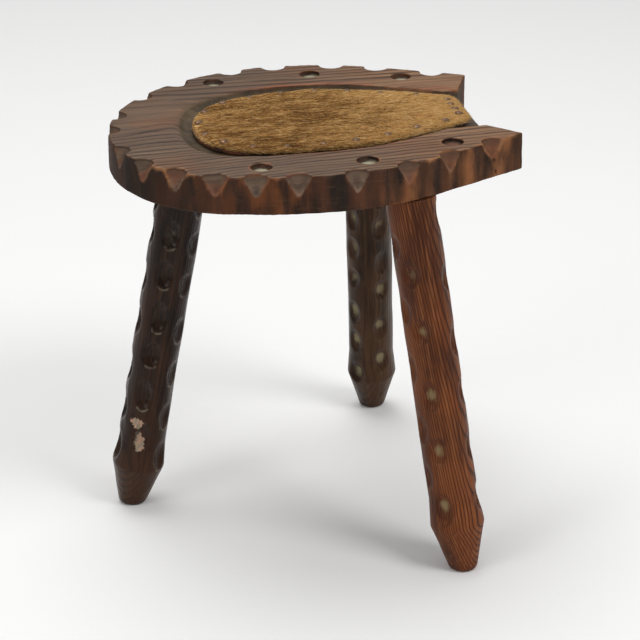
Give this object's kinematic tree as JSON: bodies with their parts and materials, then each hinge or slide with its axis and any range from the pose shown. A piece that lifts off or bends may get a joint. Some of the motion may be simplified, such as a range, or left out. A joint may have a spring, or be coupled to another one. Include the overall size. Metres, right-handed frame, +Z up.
{
  "type": "three leg stool",
  "caption": "Low stool with a carved horseshoe-shaped plank seat, a tacked cowhide pad and three splayed round legs.",
  "frame": {"origin": "middle of the footprint, on the floor", "axes": "+Z up, +X from the toe of the seat to its two horns, +Y to the far arm"},
  "size_m": [0.4026, 0.4239, 0.4165],
  "materials": {
    "seat_wood": "dark stained softwood, worn",
    "toe_leg_wood": "dark stained wood, waxed",
    "near_leg_wood": "reddish brown stained wood, worn",
    "far_leg_wood": "dark olive brown stained wood, worn",
    "cowhide": "short golden hair",
    "wadding": "matted cotton",
    "tack_metal": "dull, tarnished"
  },
  "bodies": {
    "root": {"seat_slab": "seat_wood", "toe_leg": "toe_leg_wood", "near_leg": "near_leg_wood", "far_leg": "far_leg_wood", "wadding": "wadding", "hide_cover": "cowhide", "hide_tacks": "tack_metal"}
  },
  "joints": []
}
